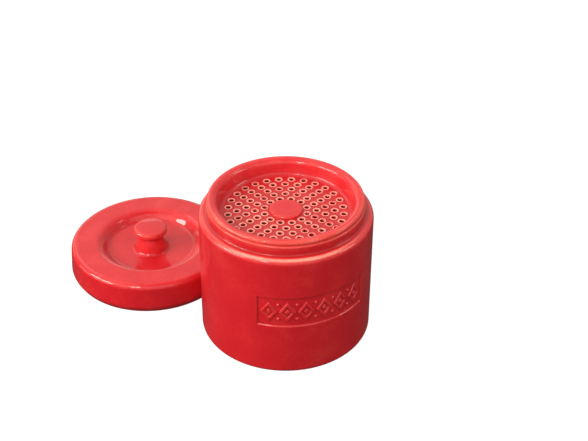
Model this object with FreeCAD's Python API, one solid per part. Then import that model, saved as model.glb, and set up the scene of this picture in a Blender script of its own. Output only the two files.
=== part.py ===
import FreeCAD, Part
import math
import os

# A glazed ceramic jar for bacon grease, in three loose pieces: the jar, the strainer cup
# that hangs in its neck, and the lid, which lies right side up on the table beside it.
#
# Millimetres, +Z up. The origin is the middle of the jar's flat foot, on the table.
# The ornament panel faces -Y. The jar and the strainer share the Z axis.

# --- Jar ---------------------------------------------------------------------------
jar_radius = 57.0
jar_shoulder_height = 90.0
jar_wall = 5.0
jar_floor = 6.5
foot_rounding = 3.6
shoulder_rounding = 4.0
inside_floor_rounding = 6.0
neck_radius = 51.5
neck_bore_radius = 47.8
neck_height = 6.8
neck_rounding = 1.2
neck_foot_rounding = 1.2
inside_shoulder_drop = 4.0
inside_shoulder_rounding = 2.5

# --- Sunk panel on the jar's front, with a band of raised lozenges and beads ----------
panel_bottom = 38.9
panel_height = 21.9
panel_half_angle_deg = 38.15
panel_depth = 0.9
relief_height = 0.75
lozenge_count = 6
lozenge_pitch_deg = 12.3
lozenge_width = 11.0
lozenge_height = 15.0
lozenge_line = 1.9
lozenge_centre_share = 0.3
bead_radius = 1.0
bead_offset = 5.6

# --- Strainer cup --------------------------------------------------------------------
flange_radius = 50.9
flange_gap = 0.1
flange_thickness = 3.1
flange_lower_rounding = 1.0
flange_upper_rounding = 1.9
cup_mouth_radius = 44.8
cup_mouth_rounding = 4.0
cup_floor_radius = 43.0
cup_floor_rounding = 3.0
cup_depth = 11.1
cup_outer_top_radius = 47.2
cup_outer_bottom_radius = 46.5
cup_outer_rounding = 4.0
plate_thickness = 4.0
disc_radius = 10.8
disc_height = 2.2
disc_rounding = 1.3
strainer_turn_deg = -18.85

hole_radius = 1.2
hole_lip = 0.9
hole_ring_count = 5
first_ring_radius = 14.1
ring_pitch = 5.88
first_ring_holes = 12
holes_added_per_ring = 4

# --- Lid -----------------------------------------------------------------------------
lid_top_radius = 56.7
lid_belly_radius = 58.0
lid_belly_height = 4.2
lid_foot_radius = 55.6
lid_hollow_radius = 52.2
lid_height = 22.75
lid_top_rounding = 4.2
lid_belly_rounding = 5.0
lid_foot_rounding = 1.2
lid_top_thickness = 5.0
lid_inside_rounding = 3.5
lid_rim_inner_rounding = 1.2
lid_gap = 0.2
lid_direction_deg = 127.7
dish_top_radius = 36.3
dish_floor_radius = 31.1
dish_depth = 6.35
dish_middle_drop = 1.6
dish_top_rounding = 8.0
dish_floor_rounding = 4.0

# --- Knob, cast in one with the lid ---------------------------------------------------
knob_base_radius = 11.8
knob_waist_radius = 7.8
knob_waist_height = 12.6
knob_cap_radius = 11.9
knob_cap_bottom = 14.3
knob_cap_edge_top = 17.9
knob_cap_dome_radius = 4.5
knob_cap_dome_rise = 0.6
knob_base_rounding = 3.0
knob_waist_rounding = 2.0
knob_cap_lower_rounding = 1.2
knob_cap_upper_rounding = 2.2
knob_cap_dome_rounding = 40.0

ORIGIN = FreeCAD.Vector(0, 0, 0)
UP = FreeCAD.Vector(0, 0, 1)
margin = 1.0
tolerance = 1e-6

mouth_height = jar_shoulder_height + neck_height
flange_underside = mouth_height + flange_gap
strainer_top = flange_underside + flange_thickness
plate_top = strainer_top - cup_depth
plate_bottom = plate_top - plate_thickness
lid_distance = jar_radius + lid_belly_radius + lid_gap
dish_floor = lid_height - dish_depth
dish_middle = dish_floor - dish_middle_drop
knob_top = dish_middle + knob_cap_edge_top + knob_cap_dome_rise


def rounded_outline(corners):
    """Closed wire in the XZ plane through corners of (radius, height, rounding)."""
    bends = []
    points = [FreeCAD.Vector(radius, 0, height) for radius, height, _ in corners]
    for index, corner in enumerate(points):
        rounding = corners[index][2]
        if rounding == 0:
            bends.append((corner, None, corner))
            continue
        back = (points[index - 1] - corner).normalize()
        ahead = (points[(index + 1) % len(points)] - corner).normalize()
        half_angle = back.getAngle(ahead) / 2
        setback = rounding / math.tan(half_angle)
        inset = rounding / math.sin(half_angle) - rounding
        inward = (back + ahead).normalize()
        bends.append((corner + back * setback, corner + inward * inset, corner + ahead * setback))
    edges = []
    for (start, middle, end), (following, _, _) in zip(bends, bends[1:] + bends[:1]):
        if middle is not None:
            edges.append(Part.Arc(start, middle, end).toShape())
        if not end.isEqual(following, tolerance):
            edges.append(Part.makeLine(end, following))
    return Part.Wire(edges)


def turned(corners):
    """Solid of revolution about Z with the rounded outline of corners."""
    return Part.Face(rounded_outline(corners)).revolve(ORIGIN, UP, 360)


def plain_jar():
    """The jar's body, shoulder and neck, without its panel."""
    return turned([
        (0, 0, 0),
        (jar_radius, 0, foot_rounding),
        (jar_radius, jar_shoulder_height, shoulder_rounding),
        (neck_radius, jar_shoulder_height, neck_foot_rounding),
        (neck_radius, mouth_height, neck_rounding),
        (neck_bore_radius, mouth_height, neck_rounding),
        (neck_bore_radius, jar_shoulder_height - inside_shoulder_drop, inside_shoulder_rounding),
        (jar_radius - jar_wall, jar_shoulder_height - 2 * inside_shoulder_drop, inside_shoulder_rounding),
        (jar_radius - jar_wall, jar_floor, inside_floor_rounding),
        (0, jar_floor, 0),
    ])


def panel_shell(inner_radius, outer_radius):
    """Curved block over the panel's area between two radii, centred on -Y."""
    section = Part.makePolygon([
        FreeCAD.Vector(inner_radius, 0, panel_bottom),
        FreeCAD.Vector(outer_radius, 0, panel_bottom),
        FreeCAD.Vector(outer_radius, 0, panel_bottom + panel_height),
        FreeCAD.Vector(inner_radius, 0, panel_bottom + panel_height),
        FreeCAD.Vector(inner_radius, 0, panel_bottom),
    ])
    shell = Part.Face(section).revolve(ORIGIN, UP, 2 * panel_half_angle_deg)
    shell.rotate(ORIGIN, UP, -90 - panel_half_angle_deg)
    return shell


def lozenge(width, height):
    """Upright lozenge-shaped block, long enough to reach through the jar's front wall."""
    middle = panel_bottom + panel_height / 2
    near = -jar_radius - margin
    outline = Part.makePolygon([
        FreeCAD.Vector(-width / 2, near, middle),
        FreeCAD.Vector(0, near, middle - height / 2),
        FreeCAD.Vector(width / 2, near, middle),
        FreeCAD.Vector(0, near, middle + height / 2),
        FreeCAD.Vector(-width / 2, near, middle),
    ])
    return Part.Face(outline).extrude(FreeCAD.Vector(0, jar_wall, 0))


def bead(height):
    """Round peg at a height on the panel's middle line."""
    start = FreeCAD.Vector(0, -jar_radius - margin, height)
    return Part.makeCylinder(bead_radius, jar_wall, start, FreeCAD.Vector(0, 1, 0))


def ornament():
    """Raised lozenge frames with a small lozenge in each, and beads between them."""
    slope = math.atan2(lozenge_height, lozenge_width)
    line_in_width = 2 * lozenge_line / math.sin(slope)
    line_in_height = 2 * lozenge_line / math.cos(slope)
    frame = lozenge(lozenge_width, lozenge_height)
    frame = frame.cut(lozenge(lozenge_width - line_in_width, lozenge_height - line_in_height))
    heart = lozenge(lozenge_width * lozenge_centre_share, lozenge_height * lozenge_centre_share)
    middle = panel_bottom + panel_height / 2
    raised = []
    for index in range(lozenge_count):
        angle = (index - (lozenge_count - 1) / 2) * lozenge_pitch_deg
        raised += [piece.rotated(ORIGIN, UP, angle) for piece in (frame, heart)]
    for index in range(lozenge_count - 1):
        angle = (index - (lozenge_count - 2) / 2) * lozenge_pitch_deg
        raised += [bead(middle + side * bead_offset).rotated(ORIGIN, UP, angle) for side in (-1, 1)]
    floor_radius = jar_radius - panel_depth
    skin = panel_shell(floor_radius - margin, floor_radius + relief_height)
    return [piece.common(skin) for piece in raised]


def make_jar():
    """The jar with its sunk, ornamented panel."""
    recess = panel_shell(jar_radius - panel_depth, jar_radius + margin)
    return plain_jar().cut(recess).fuse(ornament()).removeSplitter()


def hole_cutter():
    """Cutter for one strainer hole: straight below, opening into a round lip at the top."""
    lip_radius = hole_radius + hole_lip
    lip_start = plate_top - hole_lip
    diagonal = hole_lip * math.sqrt(0.5)
    corners = [
        FreeCAD.Vector(0, 0, plate_bottom - margin),
        FreeCAD.Vector(hole_radius, 0, plate_bottom - margin),
        FreeCAD.Vector(hole_radius, 0, lip_start),
        FreeCAD.Vector(lip_radius, 0, plate_top),
        FreeCAD.Vector(0, 0, plate_top),
    ]
    on_lip = FreeCAD.Vector(lip_radius - diagonal, 0, lip_start + diagonal)
    edges = [
        Part.makeLine(corners[0], corners[1]),
        Part.makeLine(corners[1], corners[2]),
        Part.Arc(corners[2], on_lip, corners[3]).toShape(),
        Part.makeLine(corners[3], corners[4]),
        Part.makeLine(corners[4], corners[0]),
    ]
    return Part.Face(Part.Wire(edges)).revolve(ORIGIN, UP, 360)


def hole_cutters():
    """Cutters for every hole: rings staggered by half a step, from the disc outwards."""
    cutter = hole_cutter()
    cutters = []
    for ring in range(hole_ring_count):
        radius = first_ring_radius + ring * ring_pitch
        count = first_ring_holes + ring * holes_added_per_ring
        step = 360 / count
        stagger = step / 2 if ring % 2 == 0 else 0
        moved = cutter.translated(FreeCAD.Vector(radius, 0, 0))
        cutters += [moved.rotated(ORIGIN, UP, stagger + index * step) for index in range(count)]
    return cutters


def make_strainer():
    """The strainer cup: flange, sloping wall, pierced plate and raised solid disc."""
    cup = turned([
        (0, plate_bottom, 0),
        (cup_outer_bottom_radius, plate_bottom, cup_outer_rounding),
        (cup_outer_top_radius, flange_underside, flange_lower_rounding),
        (flange_radius, flange_underside, flange_lower_rounding),
        (flange_radius, strainer_top, flange_upper_rounding),
        (cup_mouth_radius, strainer_top, cup_mouth_rounding),
        (cup_floor_radius, plate_top, cup_floor_rounding),
        (disc_radius, plate_top, disc_height - disc_rounding),
        (disc_radius, plate_top + disc_height, disc_rounding),
        (0, plate_top + disc_height, 0),
    ])
    strainer = cup.cut(hole_cutters())
    strainer.rotate(ORIGIN, UP, strainer_turn_deg)
    return strainer


def make_lid():
    """The lid: a hollow skirt, a dished top and the knob, moved beside the jar."""
    hollow_top = lid_height - lid_top_thickness
    dish_underside = dish_floor - lid_top_thickness
    lid = turned([
        (0, dish_underside, 0),
        (dish_floor_radius + lid_top_thickness, dish_underside, lid_inside_rounding),
        (dish_top_radius + lid_top_thickness, hollow_top, 0),
        (lid_hollow_radius, hollow_top, lid_inside_rounding),
        (lid_hollow_radius, 0, lid_rim_inner_rounding),
        (lid_foot_radius, 0, lid_foot_rounding),
        (lid_belly_radius, lid_belly_height, lid_belly_rounding),
        (lid_top_radius, lid_height, lid_top_rounding),
        (dish_top_radius, lid_height, dish_top_rounding),
        (dish_floor_radius, dish_floor, dish_floor_rounding),
        (knob_base_radius, dish_middle, knob_base_rounding),
        (knob_waist_radius, dish_middle + knob_waist_height, knob_waist_rounding),
        (knob_cap_radius, dish_middle + knob_cap_bottom, knob_cap_lower_rounding),
        (knob_cap_radius, dish_middle + knob_cap_edge_top, knob_cap_upper_rounding),
        (knob_cap_dome_radius, knob_top, knob_cap_dome_rounding),
        (0, knob_top, 0),
    ])
    direction = math.radians(lid_direction_deg)
    lid.translate(FreeCAD.Vector(math.cos(direction), math.sin(direction), 0) * lid_distance)
    return lid


def main():
    os.makedirs("parts", exist_ok=True)
    nodes = {"jar": make_jar(), "strainer": make_strainer(), "lid": make_lid()}
    for name, shape in nodes.items():
        box = shape.BoundBox
        print(name, "valid", shape.isValid(), "solids", len(shape.Solids), "faces", len(shape.Faces))
        print("  volume cm3", round(shape.Volume / 1000, 1), "height", round(box.ZMin, 3), round(box.ZMax, 3))
        shape.exportStep("parts/" + name + ".step")


main()
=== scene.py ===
import math

import bmesh
import bpy
import numpy as np
from mathutils import Matrix, Vector
from mathutils.geometry import delaunay_2d_cdt


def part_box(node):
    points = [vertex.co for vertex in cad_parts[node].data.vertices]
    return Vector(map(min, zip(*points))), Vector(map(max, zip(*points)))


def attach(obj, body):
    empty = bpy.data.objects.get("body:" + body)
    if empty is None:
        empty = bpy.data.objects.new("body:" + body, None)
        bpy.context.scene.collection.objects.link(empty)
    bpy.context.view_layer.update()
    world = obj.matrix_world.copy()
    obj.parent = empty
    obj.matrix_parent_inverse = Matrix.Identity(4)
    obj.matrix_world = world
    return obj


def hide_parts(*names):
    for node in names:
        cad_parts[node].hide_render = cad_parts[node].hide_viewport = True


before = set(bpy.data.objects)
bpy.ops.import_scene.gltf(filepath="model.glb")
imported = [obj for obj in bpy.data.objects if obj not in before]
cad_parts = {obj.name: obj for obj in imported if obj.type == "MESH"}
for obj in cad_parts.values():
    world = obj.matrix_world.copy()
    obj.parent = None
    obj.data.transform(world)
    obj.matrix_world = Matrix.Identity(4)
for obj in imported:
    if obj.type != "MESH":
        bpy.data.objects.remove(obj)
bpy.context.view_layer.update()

# A glazed ceramic bacon grease container: the jar, the strainer cup in its neck and the lid
# lying beside it. Everything is in metres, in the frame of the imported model: the jar stands
# on the origin, its ornament panel faces -Y, and the lid lies behind it on the left.

MM = 0.001
# Lengths closer than this are the same.
SAME = 1e-7

# --- Sizes read from the frame -------------------------------------------------------
jar_low, jar_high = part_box("jar")
strainer_low, strainer_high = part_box("strainer")
lid_low, lid_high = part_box("lid")
jar_radius = (jar_high.x - jar_low.x) / 2
mouth_height = jar_high.z
strainer_top = strainer_high.z
plate_bottom = strainer_low.z
flange_radius = (strainer_high.x - strainer_low.x) / 2
lid_centre = Vector(((lid_low.x + lid_high.x) / 2, (lid_low.y + lid_high.y) / 2, 0))
knob_top = lid_high.z

# --- Jar -----------------------------------------------------------------------------
shoulder_height = 90 * MM
jar_wall = 5 * MM
jar_floor = 6.5 * MM
jar_foot_rounding = 3.6 * MM
shoulder_rounding = 4 * MM
neck_radius = 51.5 * MM
neck_bore_radius = 47.8 * MM
neck_rounding = 1.2 * MM
neck_foot_rounding = 1.2 * MM
inside_shoulder_drop = 4 * MM
inside_shoulder_rounding = 2.5 * MM
inside_foot_rounding = 6 * MM

# --- Panel and its ornament ----------------------------------------------------------
panel_bottom = 38.9 * MM
panel_top = 60.8 * MM
panel_half_angle = math.radians(38.15)
panel_depth = 0.9 * MM
panel_corner = 0.9 * MM
panel_edge_softness = 0.55 * MM
panel_fine_margin = 1.2 * MM
relief_height = 0.75 * MM
relief_softness = 0.6 * MM
lozenge_count = 6
lozenge_pitch = math.radians(12.3)
lozenge_width = 11 * MM
lozenge_height = 15 * MM
lozenge_line = 1.9 * MM
lozenge_centre_share = 0.3
bead_radius = 1.0 * MM
bead_offset = 5.6 * MM

# --- Strainer ------------------------------------------------------------------------
flange_underside = strainer_top - 3.1 * MM
flange_upper_rounding = 1.9 * MM
flange_lower_rounding = 1 * MM
cup_mouth_radius = 44.8 * MM
cup_mouth_rounding = 4 * MM
cup_floor_radius = 43 * MM
cup_floor_rounding = 3 * MM
cup_depth = 11.1 * MM
plate_top = strainer_top - cup_depth
cup_outer_top_radius = 47.2 * MM
cup_outer_bottom_radius = 46.5 * MM
cup_outer_rounding = 4 * MM
disc_radius = 10.8 * MM
disc_height = 2.2 * MM
disc_rounding = 1.3 * MM
disc_foot_rounding = 0.45 * MM
# The pierced parts of the plate start and end here, above and below.
plate_inner_edge = 11.3 * MM
plate_outer_edge = 40.42 * MM
plate_lower_edge = 41 * MM
strainer_turn = math.radians(-18.85)
hole_ring_count = 5
first_ring_radius = 14.1 * MM
ring_pitch = 5.88 * MM
first_ring_holes = 12
holes_added_per_ring = 4
# The lip round a hole, from the plate inwards and down: (distance from its middle, height) in mm.
hole_lip = [(2.78, 0.0), (2.7, 0.05), (2.58, 0.15), (2.42, 0.26), (2.24, 0.32), (2.04, 0.31),
            (1.85, 0.22), (1.66, 0.05), (1.48, -0.18), (1.32, -0.45), (1.21, -0.8), (1.16, -1.25)]
# Its lower edge, from the plate's underside inwards and up, in the same way.
hole_foot = [(1.9, 0.0), (1.6, 0.05), (1.4, 0.2), (1.25, 0.45), (1.2, 0.9)]
# The lips rise by different shares of the heights above.
hole_lip_rise = (0.7, 1.25)

# --- Lid and knob --------------------------------------------------------------------
lid_height = 22.75 * MM
lid_top_radius = 56.7 * MM
lid_belly_radius = 58 * MM
lid_belly_height = 4.2 * MM
lid_foot_radius = 55.6 * MM
lid_belly_rounding = 5 * MM
lid_shoulder_rounding = 4.2 * MM
lid_rim_rounding = 1.2 * MM
lid_hollow_radius = 52.2 * MM
lid_hollow_rounding = 3.5 * MM
lid_hollow_step_rounding = 2 * MM
lid_top_thickness = 5 * MM
dish_top_radius = 36.3 * MM
dish_floor_radius = 31.1 * MM
dish_depth = 6.35 * MM
dish_middle_drop = 1.6 * MM
dish_lip_rounding = 8 * MM
dish_foot_rounding = 4 * MM
knob_base_radius = 11.8 * MM
knob_base_rounding = 3 * MM
knob_waist_radius = 7.8 * MM
knob_waist_rounding = 2 * MM
knob_waist_height = 12.6 * MM
knob_cap_radius = 11.9 * MM
knob_cap_bottom = 14.3 * MM
knob_cap_edge_top = 17.9 * MM
knob_cap_lower_rounding = 1.2 * MM
knob_cap_upper_rounding = 2.2 * MM
knob_cap_dome_radius = 4.5 * MM
knob_cap_dome_rounding = 40 * MM

# --- Where the glaze is thin, and a painted highlight: shares of the palest colour, for edges and over whole places ---
jar_edges_thin = 0.4
lid_edges_thin = 0.25
disc_edges_thin = 0.15
flange_edges_thin = 0.5
# The hole lips' paleness is partly thin glaze and partly a painted highlight.
hole_lips_thin_and_highlit = 1
# Painted highlight: the jar's shoulder is pale in a band round it, strongest on the side facing the camera.
# Tilts are from straight up.
shoulder_highlight_share = 0.75
shoulder_highlight_least = 0.3
shoulder_highlight_side = np.array([math.cos(math.radians(-108.85)), math.sin(math.radians(-108.85))])
shoulder_highlight_turn_reach, shoulder_highlight_turn_fade = 58, 30
shoulder_highlight_tilt, shoulder_highlight_tilt_reach, shoulder_highlight_tilt_fade = 33, 26.1, 18
# Depth down the holes at which the painted shade reaches its darkest.
hole_shade_depth = 0.9 * MM

# --- Camera and lamps are placed square to the view; this turns them into the frame ----------------
photo_turn = math.radians(-18.85)

# --- The white ground: how much of it the glaze mirrors up to a distance, and where it is all ------
near_floor_mirrored = 0.03
near_floor_reach = 0.5
white_floor_start = 1.4

# --- Mesh fineness -------------------------------------------------------------------
profile_step = 1.6 * MM
arc_step = math.radians(9)
round_columns = 240
panel_column_step = 0.3 * MM
panel_row_step = 0.3 * MM
hole_sides = 28
sheet_step = 1.3 * MM


# === Mesh building ===================================================================

def rounded_outline(corners):
    """Points (radius, height) along straight runs between corners (radius, height, rounding)."""
    points = [Vector(corner[:2]) for corner in corners]
    path = [points[0]]
    for index in range(1, len(points) - 1):
        corner, rounding = points[index], corners[index][2]
        back = (points[index - 1] - corner).normalized()
        ahead = (points[index + 1] - corner).normalized()
        half_angle = back.angle(ahead) / 2
        inward = (back + ahead).normalized()
        centre = corner + inward * rounding / math.sin(half_angle)
        start = corner + back * rounding / math.tan(half_angle) - centre
        turn = math.pi - 2 * half_angle
        if start.y * back.x - start.x * back.y < 0:
            turn = -turn
        pieces = max(2, math.ceil(abs(turn) / arc_step))
        for piece in range(pieces + 1):
            path.append(centre + Matrix.Rotation(turn * piece / pieces, 2) @ start)
    path.append(points[-1])
    dense = [path[0]]
    for point in path[1:]:
        run = (point - dense[-1]).length
        parts = max(1, math.ceil(run / profile_step))
        previous = dense[-1].copy()
        dense += [previous.lerp(point, part / parts) for part in range(1, parts + 1)]
    return np.array([tuple(point) for point in dense])


def grid_mesh(radii, heights, angles):
    """Vertices and faces of a surface of revolution, with one pole vertex where it meets the axis."""
    rows, columns = radii.shape
    vertices, faces, rings = [], [], []
    for row in range(rows):
        pole = radii[row].max() < SAME
        count = 1 if pole else columns
        rings.append((len(vertices), count))
        for column in range(count):
            radius, angle = radii[row, column], angles[column]
            vertices.append((radius * math.cos(angle), radius * math.sin(angle), heights[row, column]))
    for (low, low_count), (high, high_count) in zip(rings, rings[1:]):
        for column in range(columns):
            following = (column + 1) % columns
            corners = [low + column % low_count, low + following % low_count,
                       high + following % high_count, high + column % high_count]
            faces.append(list(dict.fromkeys(corners)))
    return vertices, faces


def swept(outline, angles):
    """Radius and height at every point of an outline and at every angle."""
    return [np.repeat(outline[:, part:part + 1], len(angles), axis=1) for part in (0, 1)]


def turned(corners):
    """Surface of revolution of a rounded outline, as vertices and faces."""
    angles = np.arange(round_columns) * 2 * math.pi / round_columns
    return grid_mesh(*swept(rounded_outline(corners), angles), angles)


def joined(*parts):
    """Several (vertices, faces) as one."""
    vertices, faces = [], []
    for more_vertices, more_faces in parts:
        shift = len(vertices)
        vertices += list(more_vertices)
        faces += [[shift + corner for corner in face] for face in more_faces]
    return vertices, faces


def mesh_object(name, part, weld=0.0):
    """A smooth-shaded object, with coinciding points welded and normals pointing out."""
    mesh = bpy.data.meshes.new(name)
    mesh.from_pydata(part[0], [], part[1])
    work = bmesh.new()
    work.from_mesh(mesh)
    if weld:
        bmesh.ops.remove_doubles(work, verts=work.verts, dist=weld)
    bmesh.ops.recalc_face_normals(work, faces=work.faces)
    work.to_mesh(mesh)
    work.free()
    mesh.shade_smooth()
    piece = bpy.data.objects.new(name, mesh)
    bpy.context.scene.collection.objects.link(piece)
    return piece


def smooth_step(value):
    """0 below 0, 1 above 1 and an even S between."""
    value = np.clip(value, 0, 1)
    return value * value * (3 - 2 * value)


# === Jar =============================================================================

def lozenge_distance(across, up, width, height):
    """Distance outside (+) or inside (-) the sides of an upright lozenge."""
    slant = width * height / 2 / math.hypot(width, height)
    return (np.abs(across) * 2 / width + np.abs(up) * 2 / height - 1) * slant


def raised(distance):
    """Soft-edged height, 0 to 1, of a raised shape from the distance outside its outline."""
    return smooth_step(0.5 - distance / relief_softness)


def panel_relief(across, up):
    """Depth of the sunk panel at a place on the front, with its ornament; 0 outside it."""
    half_width = panel_half_angle * jar_radius
    half_height = (panel_top - panel_bottom) / 2
    outside_x = np.abs(across) - half_width + panel_corner
    outside_z = np.abs(up) - half_height + panel_corner
    edge = np.hypot(np.maximum(outside_x, 0), np.maximum(outside_z, 0))
    edge += np.minimum(np.maximum(outside_x, outside_z), 0) - panel_corner
    depth = panel_depth * smooth_step(0.5 - edge / panel_edge_softness)
    height = np.zeros_like(across)
    pitch = lozenge_pitch * jar_radius
    for index in range(lozenge_count):
        offset = across - (index - (lozenge_count - 1) / 2) * pitch
        outer = lozenge_distance(offset, up, lozenge_width, lozenge_height)
        frame_line = np.abs(outer + lozenge_line / 2) - lozenge_line / 2
        share = lozenge_centre_share
        heart = lozenge_distance(offset, up, lozenge_width * share, lozenge_height * share)
        height = np.maximum(height, np.maximum(raised(frame_line), raised(heart)))
    for index in range(lozenge_count - 1):
        offset = across - (index - (lozenge_count - 2) / 2) * pitch
        bead = np.hypot(offset, np.abs(up) - bead_offset) - bead_radius
        height = np.maximum(height, raised(bead))
    return depth - relief_height * height


def jar_part():
    """The jar as one surface of revolution, finer over the panel, with the panel pressed in."""
    corners = [
        (0, 0, 0),
        (jar_radius, 0, jar_foot_rounding),
        (jar_radius, shoulder_height, shoulder_rounding),
        (neck_radius, shoulder_height, neck_foot_rounding),
        (neck_radius, mouth_height, neck_rounding),
        (neck_bore_radius, mouth_height, neck_rounding),
        (neck_bore_radius, shoulder_height - inside_shoulder_drop, inside_shoulder_rounding),
        (jar_radius - jar_wall, shoulder_height - 2 * inside_shoulder_drop, inside_shoulder_rounding),
        (jar_radius - jar_wall, jar_floor, inside_foot_rounding),
        (0, jar_floor, 0),
    ]
    outline = rounded_outline(corners)
    margin = panel_fine_margin
    outer = np.abs(outline[:, 0] - jar_radius) < SAME
    in_panel = outer & (outline[:, 1] > panel_bottom - margin) & (outline[:, 1] < panel_top + margin)
    first, last = np.flatnonzero(in_panel)[[0, -1]]
    low, high = outline[first - 1, 1], outline[last + 1, 1]
    rows = max(1, round((high - low) / panel_row_step))
    fine = np.column_stack([np.full(rows - 1, jar_radius), np.linspace(low, high, rows + 1)[1:-1]])
    outline = np.vstack([outline[:first], fine, outline[last + 1:]])
    half = panel_half_angle + margin / jar_radius
    fine_columns = round(2 * half * jar_radius / panel_column_step)
    front = -math.pi / 2
    fine_angles = np.linspace(front - half, front + half, fine_columns, endpoint=False)
    rest = 2 * math.pi - 2 * half
    coarse_columns = round(round_columns * rest / (2 * math.pi))
    coarse_angles = np.linspace(front + half, front + half + rest, coarse_columns, endpoint=False)
    angles = np.concatenate([fine_angles, coarse_angles])
    radii, heights = swept(outline, angles)
    across = np.tile((angles - front) * jar_radius, (len(outline), 1))
    up = heights - (panel_bottom + panel_top) / 2
    on_wall = np.abs(radii - jar_radius) < SAME
    return grid_mesh(radii - np.where(on_wall, panel_relief(across, up), 0), heights, angles)


# === Strainer ========================================================================

def hole_centres():
    """Middle of every hole: rings staggered by half a step, from the disc outwards."""
    centres = []
    for ring in range(hole_ring_count):
        radius = first_ring_radius + ring * ring_pitch
        count = first_ring_holes + ring * holes_added_per_ring
        step = 2 * math.pi / count
        stagger = step / 2 if ring % 2 == 0 else 0
        for index in range(count):
            angle = strainer_turn + stagger + index * step
            centres.append((radius * math.cos(angle), radius * math.sin(angle)))
    return np.array(centres)


def circle(centre, radius, sides):
    """Points of a regular polygon."""
    angles = np.arange(sides) * 2 * math.pi / sides
    return np.column_stack([centre[0] + radius * np.cos(angles), centre[1] + radius * np.sin(angles)])


def pierced_sheet(inner, outer, opening, height):
    """Flat ring of triangles at a height, with round openings at the holes.

    Its borders and the openings share their points with the pieces that join it.
    """
    centres = hole_centres()
    points, edges = [], []

    def add_loop(loop):
        """Take in a closed line that no triangle may cross."""
        start = len(points)
        points.extend(loop)
        edges.extend((start + side, start + (side + 1) % len(loop)) for side in range(len(loop)))

    add_loop(circle((0, 0), outer, round_columns))
    if inner:
        add_loop(circle((0, 0), inner, round_columns))
    for centre in centres:
        add_loop(circle(centre, opening, hole_sides))
    row_height = sheet_step * math.sqrt(0.75)
    rows = math.ceil(outer / row_height)
    columns = math.ceil(outer / sheet_step) + 1
    for row in range(-rows, rows + 1):
        for column in range(-columns, columns + 1):
            spot = np.array([(column + (row % 2) / 2) * sheet_step, row * row_height])
            reach = np.hypot(*spot)
            if reach > outer - sheet_step * 0.6 or (inner and reach < inner + sheet_step * 0.6):
                continue
            if np.hypot(*(centres - spot).T).min() >= opening + sheet_step * 0.5:
                points.append(spot)
    result = delaunay_2d_cdt([Vector(point) for point in points], edges, [], 0, SAME)
    flat = np.array([tuple(vertex) for vertex in result[0]])
    triangles = []
    for face in result[2]:
        middle = flat[list(face)].mean(axis=0)
        in_hole = np.hypot(*(centres - middle).T).min() < opening * math.cos(math.pi / hole_sides)
        if not in_hole and inner < np.hypot(*middle) < outer:
            triangles.append(list(face))
    return [(x, y, height) for x, y in flat], triangles


def hole_walls():
    """Every hole's lip, straight wall and lower edge, as rings of points under each other."""
    seeded = np.random.default_rng(11)
    vertices, faces = [], []
    for centre in hole_centres():
        rise = seeded.uniform(*hole_lip_rise)
        rings = [(distance * MM, plate_top + height * (rise if height > 0 else 1) * MM)
                 for distance, height in hole_lip]
        rings += [(distance * MM, plate_bottom + height * MM)
                  for distance, height in reversed(hole_foot)]
        start = len(vertices)
        for radius, height in rings:
            vertices += [(x, y, height) for x, y in circle(centre, radius, hole_sides)]
        for ring in range(len(rings) - 1):
            for side in range(hole_sides):
                following = (side + 1) % hole_sides
                row, next_row = start + ring * hole_sides, start + (ring + 1) * hole_sides
                faces.append([row + side, row + following, next_row + following, next_row + side])
    return vertices, faces


def strainer_part():
    """The strainer cup: turned flange and wall, pierced plate above and below, raised disc."""
    cup = turned([
        (plate_lower_edge, plate_bottom, 0),
        (cup_outer_bottom_radius, plate_bottom, cup_outer_rounding),
        (cup_outer_top_radius, flange_underside, flange_lower_rounding),
        (flange_radius, flange_underside, flange_lower_rounding),
        (flange_radius, strainer_top, flange_upper_rounding),
        (cup_mouth_radius, strainer_top, cup_mouth_rounding),
        (cup_floor_radius, plate_top, cup_floor_rounding),
        (plate_outer_edge, plate_top, 0),
    ])
    disc = turned([
        (plate_inner_edge, plate_top, 0),
        (disc_radius, plate_top, disc_foot_rounding),
        (disc_radius, plate_top + disc_height, disc_rounding),
        (0, plate_top + disc_height, 0),
    ])
    top = pierced_sheet(plate_inner_edge, plate_outer_edge, hole_lip[0][0] * MM, plate_top)
    low = pierced_sheet(0, plate_lower_edge, hole_foot[0][0] * MM, plate_bottom)
    return joined(cup, disc, top, low, hole_walls())


# === Lid =============================================================================

def lid_part():
    """The lid with its dished top, hollow underside and knob, turned about its own axis."""
    dish_floor = lid_height - dish_depth
    dish_middle = dish_floor - dish_middle_drop
    hollow_top = lid_height - lid_top_thickness
    dish_underside = dish_floor - lid_top_thickness
    vertices, faces = turned([
        (0, dish_underside, 0),
        (dish_floor_radius + lid_top_thickness, dish_underside, lid_hollow_rounding),
        (dish_top_radius + lid_top_thickness, hollow_top, lid_hollow_step_rounding),
        (lid_hollow_radius, hollow_top, lid_hollow_rounding),
        (lid_hollow_radius, 0, lid_rim_rounding),
        (lid_foot_radius, 0, lid_rim_rounding),
        (lid_belly_radius, lid_belly_height, lid_belly_rounding),
        (lid_top_radius, lid_height, lid_shoulder_rounding),
        (dish_top_radius, lid_height, dish_lip_rounding),
        (dish_floor_radius, dish_floor, dish_foot_rounding),
        (knob_base_radius, dish_middle, knob_base_rounding),
        (knob_waist_radius, dish_middle + knob_waist_height, knob_waist_rounding),
        (knob_cap_radius, dish_middle + knob_cap_bottom, knob_cap_lower_rounding),
        (knob_cap_radius, dish_middle + knob_cap_edge_top, knob_cap_upper_rounding),
        (knob_cap_dome_radius, knob_top, knob_cap_dome_rounding),
        (0, knob_top, 0),
    ])
    return [(x + lid_centre.x, y + lid_centre.y, z) for x, y, z in vertices], faces


# === Glaze ===========================================================================

def read_vectors(collection, field):
    """A vector of every item of a mesh's collection, as rows."""
    values = np.empty(len(collection) * 3)
    collection.foreach_get(field, values)
    return values.reshape(-1, 3)


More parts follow.
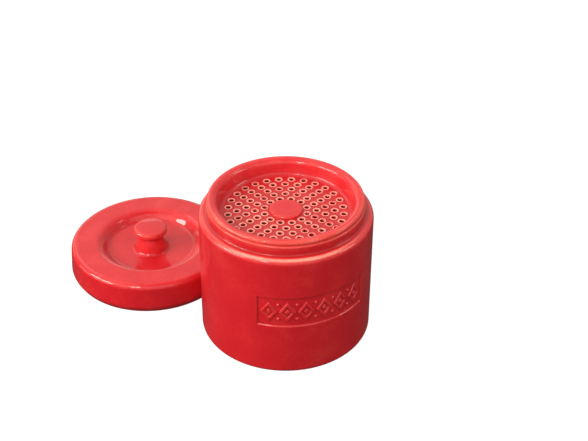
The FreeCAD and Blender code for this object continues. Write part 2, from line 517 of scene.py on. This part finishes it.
def write_attribute(mesh, name, values):
    """A number for every point of a mesh, for its material to read."""
    mesh.attributes.new(name, "FLOAT", "POINT").data.foreach_set("value", values)


def reach_of(places):
    """Distance of places from the jar's axis."""
    return np.hypot(places[:, 0], places[:, 1])


def add_edge_glaze(mesh, thinness, painted_light_and_shade):
    """Point attribute 'edge': + where the glaze breaks thin over an edge, - where it pools, plus the painted
    highlight and painted shade given per piece.

    It starts as the sharpest bend of the surface at each point, outwards or inwards, and is
    then evened out with the points next to it.
    """
    places = read_vectors(mesh.vertices, "co")
    normals = read_vectors(mesh.vertex_normals, "vector")
    count = len(places)
    ends = np.empty(len(mesh.edges) * 2, int)
    mesh.edges.foreach_get("vertices", ends)
    ends = ends.reshape(-1, 2)
    out = np.full(count, -1e9)
    into = np.full(count, 1e9)
    for near, far in ((0, 1), (1, 0)):
        along = places[ends[:, far]] - places[ends[:, near]]
        length = np.maximum((along ** 2).sum(1), (0.1 * MM) ** 2)
        bend = -2 * (along * normals[ends[:, near]]).sum(1) / length
        np.maximum.at(out, ends[:, near], bend)
        np.minimum.at(into, ends[:, near], bend)
    convex = smooth_step((out * MM - 0.12) / 0.5)
    hollow = smooth_step((-into * MM - 0.12) / 0.5)
    edge = np.where(convex > hollow, convex, -hollow)
    for _ in range(2):
        total = edge.copy()
        weight = np.ones(count)
        for near, far in ((0, 1), (1, 0)):
            np.add.at(total, ends[:, near], edge[ends[:, far]])
            np.add.at(weight, ends[:, near], 1)
        edge = total / weight
    # Each piece's painted highlight and painted shade are added to the edge value here.
    edge = np.where(edge > 0, edge * thinness(places), edge / 2) + painted_light_and_shade(places)
    write_attribute(mesh, "edge", edge)


def jar_thinness(places):
    """How thin the glaze breaks over the jar's edges."""
    return jar_edges_thin


def lid_thinness(places):
    """How thin the glaze breaks over the lid's edges."""
    return lid_edges_thin


def strainer_thinness(places):
    """How thin the glaze breaks on the strainer: least on the raised disc, most at the holes, where the pale
    lips are partly thin glaze and partly a painted highlight.
    """
    reach = reach_of(places)
    outside = np.where(reach > plate_lower_edge, flange_edges_thin, hole_lips_thin_and_highlit)
    return np.where(reach < 12 * MM, disc_edges_thin, outside)


def no_painted_light(places):
    """No painted highlight and no painted shade beyond what the edges give."""
    return 0


def painted_shoulder_highlight(places):
    """Painted highlight: a pale band along the rounding of the jar's shoulder, strongest on the side facing
    the camera.
    """
    reach = reach_of(places)
    outward = reach - (jar_radius - shoulder_rounding)
    downward = shoulder_height - places[:, 2]
    on_rounding = (outward > -0.5 * MM) & (downward > -0.1 * MM) & (downward < shoulder_rounding)
    tilt = np.degrees(np.arctan2(outward, np.maximum(shoulder_rounding - downward, 1e-6)))
    across = smooth_step((shoulder_highlight_tilt_reach - np.abs(tilt - shoulder_highlight_tilt)) / shoulder_highlight_tilt_fade)
    turn = np.degrees(np.arccos(np.clip((places[:, :2] @ shoulder_highlight_side) / np.maximum(reach, 1e-6), -1, 1)))
    most = smooth_step((shoulder_highlight_turn_reach - turn) / shoulder_highlight_turn_fade)
    along = shoulder_highlight_least + (1 - shoulder_highlight_least) * most
    return np.where(on_rounding, shoulder_highlight_share * across * along, 0)


def pooled_glaze_and_shade_in_holes(places):
    """Darker with depth down the strainer's holes: painted shade, together with deeper glaze there."""
    depth = plate_top - places[:, 2]
    inside = (reach_of(places) < plate_lower_edge + 0.5 * MM) & (places[:, 2] > plate_bottom + 0.5 * MM)
    return np.where(inside, -smooth_step(depth / hole_shade_depth), 0)


def bare_foot(places):
    """The flat foot and the very start of its rounding."""
    return np.clip(1.25 - places[:, 2] / (0.9 * MM), 0, 1)


def bare_flange_seat(places):
    """The ring under the flange that sits on the jar's mouth."""
    away = np.abs(reach_of(places) - (cup_outer_top_radius + flange_radius) / 2)
    under = np.abs(places[:, 2] - flange_underside) < 0.4 * MM
    return np.where(under, np.clip(1.6 - away / (1.2 * MM), 0, 1), 0)


def add_node(tree, kind, inputs=(), **settings):
    """A shader node with some of its settings and unlinked inputs filled in."""
    made = tree.nodes.new(kind)
    for key, value in settings.items():
        setattr(made, key, value)
    for key, value in dict(inputs).items():
        made.inputs[key].default_value = value
    return made


def noise(tree, place, scale, detail=2.0):
    """Factor output of a noise texture at a scale per metre."""
    made = add_node(tree, "ShaderNodeTexNoise", {"Scale": scale, "Detail": detail})
    tree.links.new(place, made.inputs["Vector"])
    return made.outputs["Fac"]


def remap(tree, value, low, high, new_low, new_high):
    """A value mapped from one range to another and held inside it."""
    made = add_node(tree, "ShaderNodeMapRange", {
        "From Min": low, "From Max": high, "To Min": new_low, "To Max": new_high})
    tree.links.new(value, made.inputs["Value"])
    return made.outputs["Result"]


def combine(tree, operation, first, second):
    """Two values put together by a math node; a plain number may stand for either."""
    made = add_node(tree, "ShaderNodeMath", operation=operation)
    for socket, value in zip(made.inputs, (first, second)):
        if isinstance(value, (int, float)):
            socket.default_value = value
        else:
            tree.links.new(value, socket)
    return made.outputs["Value"]


def mixed(tree, share, first, second):
    """Colour mix of two colours, each an output or a plain colour."""
    made = add_node(tree, "ShaderNodeMix", data_type="RGBA")
    tree.links.new(share, made.inputs["Factor"])
    for socket, value in ((made.inputs[6], first), (made.inputs[7], second)):
        if isinstance(value, tuple):
            socket.default_value = value
        else:
            tree.links.new(value, socket)
    return made.outputs[2]


def mixed_value(tree, share, first, second):
    """Blend from one number to another, each an output or a plain number."""
    made = add_node(tree, "ShaderNodeMix", data_type="FLOAT")
    for socket, value in ((made.inputs[0], share), (made.inputs[2], first), (made.inputs[3], second)):
        if isinstance(value, (int, float)):
            socket.default_value = value
        else:
            tree.links.new(value, socket)
    return made.outputs[0]


def bump(tree, height, distance, under=None):
    """Bump of a height at a distance, laid over another bump."""
    made = add_node(tree, "ShaderNodeBump", {"Strength": 1, "Distance": distance})
    tree.links.new(height, made.inputs["Height"])
    if under is not None:
        tree.links.new(under, made.inputs["Normal"])
    return made.outputs["Normal"]


def glaze_material(name, shift, gloss):
    """Thick red gloss glaze over pale clay.

    The glaze is lighter where it breaks thin over edges, deeper where it pools, a little uneven
    all over, with fine pinholes; where 'bare' is high its edge is ragged and the clay shows.
    """
    material = bpy.data.materials.new(name)
    material.use_nodes = True
    tree = material.node_tree
    links = tree.links
    shader = tree.nodes["Principled BSDF"]
    coordinates = add_node(tree, "ShaderNodeTexCoord")
    moved = add_node(tree, "ShaderNodeMapping", {"Location": shift})
    links.new(coordinates.outputs["Object"], moved.inputs["Vector"])
    place = moved.outputs["Vector"]

    # The 'edge' attribute also carries a painted highlight on the jar's shoulder and painted shade down the
    # strainer's holes.
    edge = add_node(tree, "ShaderNodeAttribute", attribute_name="edge").outputs["Fac"]
    flow = noise(tree, place, 55, 2)
    fine = noise(tree, place, 420, 4)
    uneven = combine(tree, "ADD", remap(tree, flow, 0.3, 0.7, -0.1, 0.1),
                     remap(tree, fine, 0.3, 0.7, -0.06, 0.06))
    glaze_break_and_painted_light = combine(tree, "ADD", edge, uneven)
    ramp = add_node(tree, "ShaderNodeValToRGB")
    stops = ramp.color_ramp.elements
    stops[0].position, stops[0].color = 0.0, (0.15, 0.002, 0.003, 1)
    stops[1].position, stops[1].color = 1.0, (0.95, 0.42, 0.34, 1)
    for position, colour in ((0.25, (0.44, 0.006, 0.010, 1)), (0.5, (0.62, 0.0125, 0.021, 1)),
                             (0.75, (0.77, 0.065, 0.052, 1))):
        stop = stops.new(position)
        stop.color = colour
    links.new(remap(tree, glaze_break_and_painted_light, -1, 1, 0, 1), ramp.inputs["Fac"])

    cells = add_node(tree, "ShaderNodeTexVoronoi", {"Scale": 380, "Randomness": 1}, feature="F1")
    links.new(place, cells.inputs["Vector"])
    chosen = add_node(tree, "ShaderNodeSeparateColor")
    links.new(cells.outputs["Color"], chosen.inputs["Color"])
    rare = remap(tree, chosen.outputs["Red"], 0.95, 0.96, 0, 1)
    near = remap(tree, cells.outputs["Distance"], 0.03, 0.075, 1, 0)
    pinhole = combine(tree, "MULTIPLY", rare, near)
    glaze = mixed(tree, pinhole, ramp.outputs["Color"], (0.16, 0.01, 0.01, 1))

    bare = add_node(tree, "ShaderNodeAttribute", attribute_name="bare").outputs["Fac"]
    ragged = combine(tree, "ADD", bare, remap(tree, noise(tree, place, 130, 3), 0.3, 0.7, -0.28, 0.28))
    clay_share = remap(tree, ragged, 0.62, 0.68, 0, 1)
    grain = noise(tree, place, 2600, 3)
    clay = mixed(tree, remap(tree, grain, 0.35, 0.65, 0, 1), (0.56, 0.47, 0.36, 1), (0.72, 0.64, 0.52, 1))
    links.new(mixed(tree, clay_share, glaze, clay), shader.inputs["Base Color"])

    links.new(remap(tree, clay_share, 0, 1, 0.45, 0.85), shader.inputs["Roughness"])
    links.new(remap(tree, clay_share, 0, 1, gloss, 0), shader.inputs["Coat Weight"])
    shader.inputs["Specular IOR Level"].default_value = 0.55 - gloss / 2
    shader.inputs["Coat Roughness"].default_value = 0.06

    wavy = bump(tree, flow, 0.09 * MM)
    peel = bump(tree, noise(tree, place, 330, 1), 0.006 * MM, wavy)
    holes = bump(tree, combine(tree, "MULTIPLY", pinhole, -1), 0.05 * MM, peel)
    gritty = bump(tree, combine(tree, "MULTIPLY", clay_share, grain), 0.04 * MM, holes)
    links.new(gritty, shader.inputs["Normal"])
    links.new(wavy, shader.inputs["Coat Normal"])
    return material


# === Camera, light and floor ===========================================================

def make_camera():
    """The photographed view: in front of the jar, a little left of its panel, looking down."""
    yaw = math.radians(1.2965)
    pitch = math.radians(34.56)
    roll = math.radians(0.3823)
    place = Vector((-9.31, -645.86, 526.16)) * MM
    forward = Vector((math.sin(yaw) * math.cos(pitch), math.cos(yaw) * math.cos(pitch), -math.sin(pitch)))
    level = Vector((math.cos(yaw), -math.sin(yaw), 0))
    upright = level.cross(forward)
    right = level * math.cos(roll) + upright * math.sin(roll)
    up = upright * math.cos(roll) - level * math.sin(roll)
    data = bpy.data.cameras.new("camera")
    data.sensor_width = 36
    data.lens = 73.81
    camera = bpy.data.objects.new("camera", data)
    axes = Matrix((right, up, -forward)).transposed().to_4x4()
    camera.matrix_world = Matrix.Rotation(photo_turn, 4, "Z") @ Matrix.Translation(place) @ axes
    bpy.context.scene.collection.objects.link(camera)
    bpy.context.scene.camera = camera


def make_floor():
    """White ground with the pieces' soft shadow on it.

    The glaze mirrors the far ground as white too, and the ground close to the pieces only dimly.
    """
    mesh = bpy.data.meshes.new("floor")
    size = 3.0
    corners = [(-size, -size, 0), (size, -size, 0), (size, size, 0), (-size, size, 0)]
    mesh.from_pydata(corners, [], [[0, 1, 2, 3]])
    floor = bpy.data.objects.new("floor", mesh)
    bpy.context.scene.collection.objects.link(floor)
    material = bpy.data.materials.new("floor_white")
    material.use_nodes = True
    tree = material.node_tree
    shader = tree.nodes["Principled BSDF"]
    path = add_node(tree, "ShaderNodeLightPath")
    seen = path.outputs["Is Camera Ray"]
    ground = mixed(tree, seen, (0.04, 0.04, 0.04, 1), (0.18, 0.18, 0.18, 1))
    tree.links.new(ground, shader.inputs["Base Color"])
    shader.inputs["Roughness"].default_value = 0.9
    shader.inputs["Specular IOR Level"].default_value = 0
    distance = add_node(tree, "ShaderNodeVectorMath", operation="LENGTH")
    tree.links.new(add_node(tree, "ShaderNodeTexCoord").outputs["Object"], distance.inputs[0])
    far = remap(tree, distance.outputs["Value"], near_floor_reach, white_floor_start, near_floor_mirrored, 1)
    mirrored = combine(tree, "ADD", path.outputs["Is Glossy Ray"], path.outputs["Is Transmission Ray"])
    strength = combine(tree, "ADD", seen, combine(tree, "MULTIPLY", mirrored, far))
    tree.links.new(strength, shader.inputs["Emission Strength"])
    shader.inputs["Emission Color"].default_value = (0.92, 0.92, 0.92, 1)
    mesh.materials.append(material)


def from_camera_side(azimuth, elevation):
    """Direction in the row frame from an azimuth clockwise from straight behind the pieces, in degrees."""
    turn = math.radians(azimuth) - photo_turn
    lift = math.radians(elevation)
    return Vector((math.sin(turn) * math.cos(lift), math.cos(turn) * math.cos(lift), math.sin(lift)))


def area_light(name, place, target, size, radiance):
    """Rectangular soft light of a radiance that faces its target; the camera doesn't see it."""
    data = bpy.data.lights.new(name, "AREA")
    data.shape = "RECTANGLE"
    data.size, data.size_y = size
    data.energy = radiance * math.pi * size[0] * size[1]
    data.color = (1, 0.97, 0.86)
    light = bpy.data.objects.new(name, data)
    light.location = place
    light.rotation_euler = (target - place).to_track_quat("-Z", "Y").to_euler()
    light.visible_camera = False
    bpy.context.scene.collection.objects.link(light)


# Soft lights round the pieces: (name, azimuth, elevation, width and height in degrees, radiance).
soft_lights = [
    ("window_left", 252, 28, 34, 11, 18.0),
    ("window_low_left", 262, 9, 50, 16, 2.2),
    ("window_front", 205, 39, 11, 5, 45.0),
    ("side_right", 100, 25, 20, 12, 6.5),
    ("strip_behind_left", 320, 8, 36, 12, 1.0),
    ("strip_behind", 350, 18, 22, 13, 1.0),
    ("sky_behind_left", 322, 38, 24, 24, 1.1),
    ("front_low", 180, 16, 80, 26, 0.7),
    ("front_high", 180, 48, 90, 30, 1.1),
]

# Small cards close above the pieces: (name, right, away, up in metres, side, radiance).
near_cards = [
    ("card_back_right", 0.16, 0.08, 0.30, 0.08, 2.6),
]

# Even light of the surroundings by side: (azimuth, radiance low down, radiance high up).
surroundings = [(0, 0.65, 0.9), (90, 0.45, 0.4), (180, 0.4, 0.05), (270, 0.2, 1.3)]


def make_world():
    """Soft surroundings that differ by side and height; to the camera they are plain white."""
    world = bpy.data.worlds.new("studio")
    world.use_nodes = True
    tree = world.node_tree
    background = tree.nodes["Background"]
    seen = add_node(tree, "ShaderNodeLightPath").outputs["Is Camera Ray"]
    tree.links.new(mixed(tree, seen, (1, 0.97, 0.9, 1), (1, 1, 1, 1)), background.inputs["Color"])
    direction = add_node(tree, "ShaderNodeTexCoord").outputs["Generated"]
    parts = add_node(tree, "ShaderNodeSeparateXYZ")
    tree.links.new(direction, parts.inputs["Vector"])
    level = add_node(tree, "ShaderNodeCombineXYZ")
    tree.links.new(parts.outputs["X"], level.inputs["X"])
    tree.links.new(parts.outputs["Y"], level.inputs["Y"])
    heading = add_node(tree, "ShaderNodeVectorMath", operation="NORMALIZE")
    tree.links.new(level.outputs["Vector"], heading.inputs[0])
    height = remap(tree, parts.outputs["Z"], math.sin(math.radians(28)), math.sin(math.radians(46)), 0, 1)
    total = None
    for azimuth, low, high in surroundings:
        facing = add_node(tree, "ShaderNodeVectorMath", operation="DOT_PRODUCT")
        tree.links.new(heading.outputs["Vector"], facing.inputs[0])
        facing.inputs[1].default_value = from_camera_side(azimuth, 0)
        share = combine(tree, "POWER", combine(tree, "MAXIMUM", facing.outputs["Value"], 0), 2)
        term = combine(tree, "MULTIPLY", share, remap(tree, height, 0, 1, low, high))
        total = term if total is None else combine(tree, "ADD", total, term)
    tree.links.new(mixed_value(tree, seen, total, 1), background.inputs["Strength"])
    bpy.context.scene.world = world


def make_lights():
    """The soft lights round the pieces and the small cards close above them."""
    middle = Vector((-30, 30, 50)) * MM
    reach = 1.5
    for name, azimuth, elevation, width, height, radiance in soft_lights:
        size = [2 * reach * math.tan(math.radians(angle / 2)) for angle in (width, height)]
        area_light(name, middle + from_camera_side(azimuth, elevation) * reach, middle, size, radiance)
    turn = Matrix.Rotation(photo_turn, 3, "Z")
    for name, right, away, up, side, radiance in near_cards:
        area_light(name, turn @ Vector((right, away, up)), Vector((0, 0, 0.09)), (side, side), radiance)


# === Scene ===========================================================================

def add_piece(name, part, node, thinness, painted_light_and_shade, bareness, shift, gloss, weld=0.0):
    """A finished piece in place of a CAD node: its mesh, its glaze and what it rides on."""
    piece = mesh_object(name, part, weld)
    add_edge_glaze(piece.data, thinness, painted_light_and_shade)
    write_attribute(piece.data, "bare", bareness(read_vectors(piece.data.vertices, "co")))
    piece.data.materials.append(glaze_material(name + "_glaze", shift, gloss))
    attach(piece, node)
    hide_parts(node)


bpy.context.scene.view_settings.view_transform = "Standard"
make_camera()
make_floor()
make_world()
make_lights()
# The jar's glaze carries a painted highlight along its shoulder.
add_piece("jar_body", jar_part(), "jar",
          jar_thinness, painted_shoulder_highlight, bare_foot, (0, 0, 0), 0.7)
# The strainer's glaze carries painted shade down its holes and a partly painted highlight on its hole lips.
add_piece("strainer_cup", strainer_part(), "strainer",
          strainer_thinness, pooled_glaze_and_shade_in_holes, bare_flange_seat, (0.31, 0.17, 0.05), 0.7, 0.01 * MM)
add_piece("lid_with_knob", lid_part(), "lid",
          lid_thinness, no_painted_light, bare_foot, (0.08, 0.43, 0.21), 0.85)
